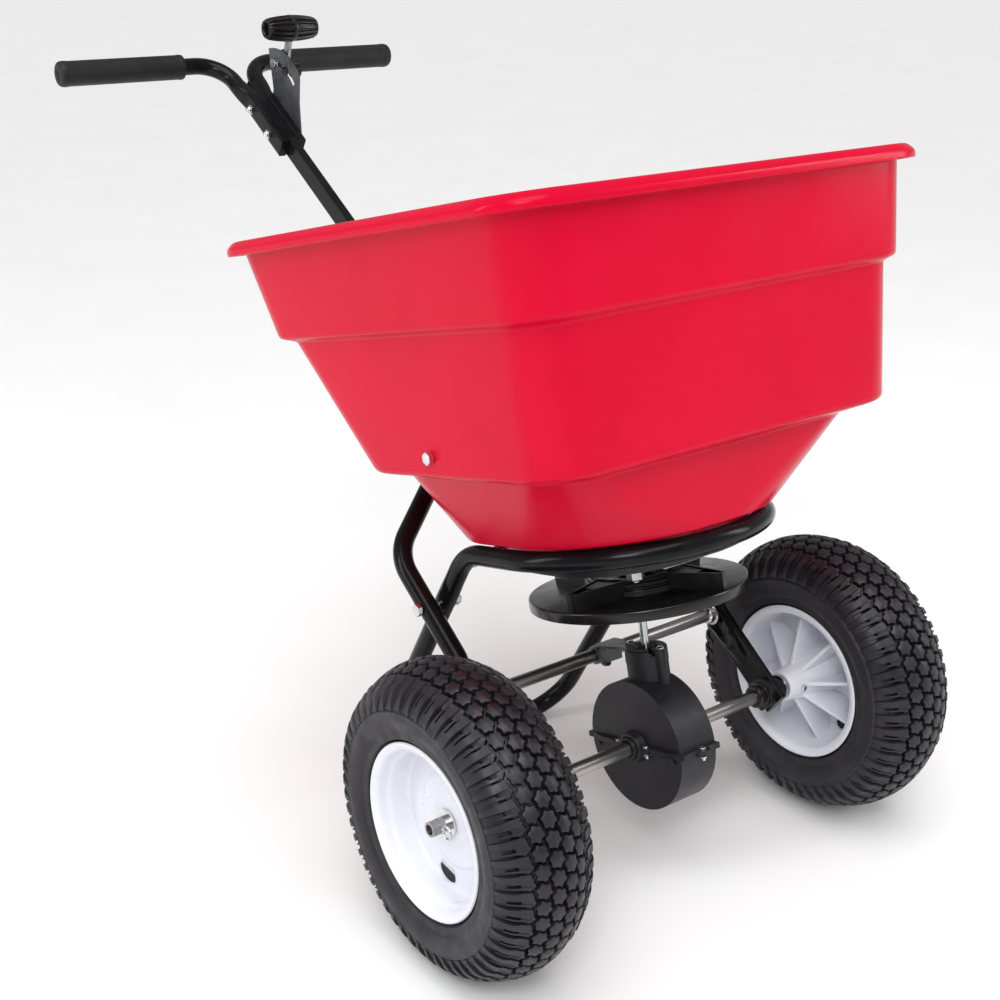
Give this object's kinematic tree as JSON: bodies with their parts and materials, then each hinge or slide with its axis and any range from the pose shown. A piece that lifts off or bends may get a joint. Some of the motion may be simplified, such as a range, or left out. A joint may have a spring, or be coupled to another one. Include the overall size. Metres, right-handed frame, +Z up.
{
  "type": "broadcast spreader",
  "caption": "Walk-behind garden spreader: red hopper on a tubular stand, pneumatic wheels, geared spinning disc below, handlebar with gate lever and rate gauge.",
  "frame": {"origin": "on the ground, at the middle of the bounding box's footprint, with the spreader at rest on its two wheels and its stand bar", "axes": "+X to the operator's right and along the axle, +Y from the hopper back towards the handle, +Z up"},
  "size_m": [0.6434, 1.0721, 0.8878],
  "materials": {
    "red_shell": "moulded polyethylene, glossy",
    "black_frame": "powder coated",
    "black_plastic": "moulded, satin",
    "knob_plastic": "moulded, matt",
    "grip_rubber": "soft, matt",
    "zinc_hardware": "bright zinc plated",
    "bare_steel": "drawn steel",
    "stamped_steel": "stamped, zinc plated",
    "dark_plate": "painted sheet",
    "white_rim": "moulded, glossy",
    "tyre_rubber": "moulded rubber",
    "valve_rubber": "moulded rubber",
    "gear_nylon": "moulded nylon"
  },
  "bodies": {
    "frame": {"stand_tube": "black_frame", "rear_crossbar": "black_frame", "side_rail_left": "black_frame", "side_rail_right": "black_frame", "axle_bush_left": "black_plastic", "axle_bush_right": "black_plastic", "cross_rod": "bare_steel", "cross_rod_bolts": "zinc_hardware", "clamp_bolts": "zinc_hardware", "handle_post": "black_frame", "rail_post_bolt": "zinc_hardware", "handlebar_left": "black_frame", "handlebar_right": "black_frame", "grip_left": "grip_rubber", "grip_right": "grip_rubber", "handle_bolts": "zinc_hardware", "gauge_plate": "dark_plate", "gauge_screw": "zinc_hardware", "hopper": "red_shell", "hopper_tie_rod": "zinc_hardware", "base_plate": "dark_plate", "base_screws": "zinc_hardware", "gate_guides": "stamped_steel", "gearbox_upper": "black_plastic", "gearbox_lower": "black_plastic", "gearbox_screws": "zinc_hardware", "gearbox_bracket": "bare_steel", "bracket_screws": "zinc_hardware"},
    "axle": {"axle": "bare_steel", "crown_gear": "gear_nylon", "drive_rim": "white_rim", "drive_valve": "valve_rubber", "drive_tyre": "tyre_rubber", "drive_pin": "zinc_hardware", "hair_pins": "zinc_hardware", "axle_washers": "zinc_hardware"},
    "free_wheel": {"free_rim": "white_rim", "free_valve": "valve_rubber", "free_tyre": "tyre_rubber"},
    "spinner": {"pinion": "gear_nylon", "spinner_shaft": "bare_steel", "impeller": "black_plastic", "agitator": "bare_steel", "impeller_pin": "zinc_hardware"},
    "lever": {"gate_lever": "stamped_steel", "lever_knob": "knob_plastic"},
    "rod": {"control_rod": "bare_steel"},
    "gate": {"gate_plate": "stamped_steel"},
    "stop": {"rate_stop": "knob_plastic"}
  },
  "joints": [
    {"name": "axle_spin", "type": "hinge", "parent": "frame", "child": "axle", "pos_m": [0, -0.371, 0.165], "axis": [1, 0, 0], "continuous": true},
    {"name": "free_wheel_spin", "type": "hinge", "parent": "axle", "child": "free_wheel", "pos_m": [-0.265, -0.371, 0.165], "axis": [1, 0, 0], "continuous": true},
    {"name": "spinner_spin", "type": "hinge", "parent": "frame", "child": "spinner", "pos_m": [0, -0.371, 0.165], "axis": [0, 0.2334, 0.9724], "continuous": true},
    {"name": "gate_lever_swing", "type": "hinge", "parent": "frame", "child": "lever", "pos_m": [0, 0.43704, 0.76533], "axis": [-1, 0, 0], "range_deg": [0, 22]},
    {"name": "control_rod_slide", "type": "slide", "parent": "frame", "child": "rod", "axis": [0, -0.8434, -0.5373], "range_m": [0, 0.0139]},
    {"name": "gate_slide", "type": "slide", "parent": "frame", "child": "gate", "axis": [0, -0.9724, 0.2334], "range_m": [0, 0.0097]},
    {"name": "rate_stop_set", "type": "hinge", "parent": "frame", "child": "stop", "pos_m": [0, 0.43704, 0.76533], "axis": [1, 0, 0], "range_deg": [0, 16]}
  ],
  "couplings": [
    {"joint": "spinner_spin", "follows": "axle_spin", "ratio": 5},
    {"joint": "control_rod_slide", "follows": "gate_lever_swing", "m_per_rad": 0.035779},
    {"joint": "gate_slide", "follows": "gate_lever_swing", "m_per_rad": 0.024854}
  ]
}
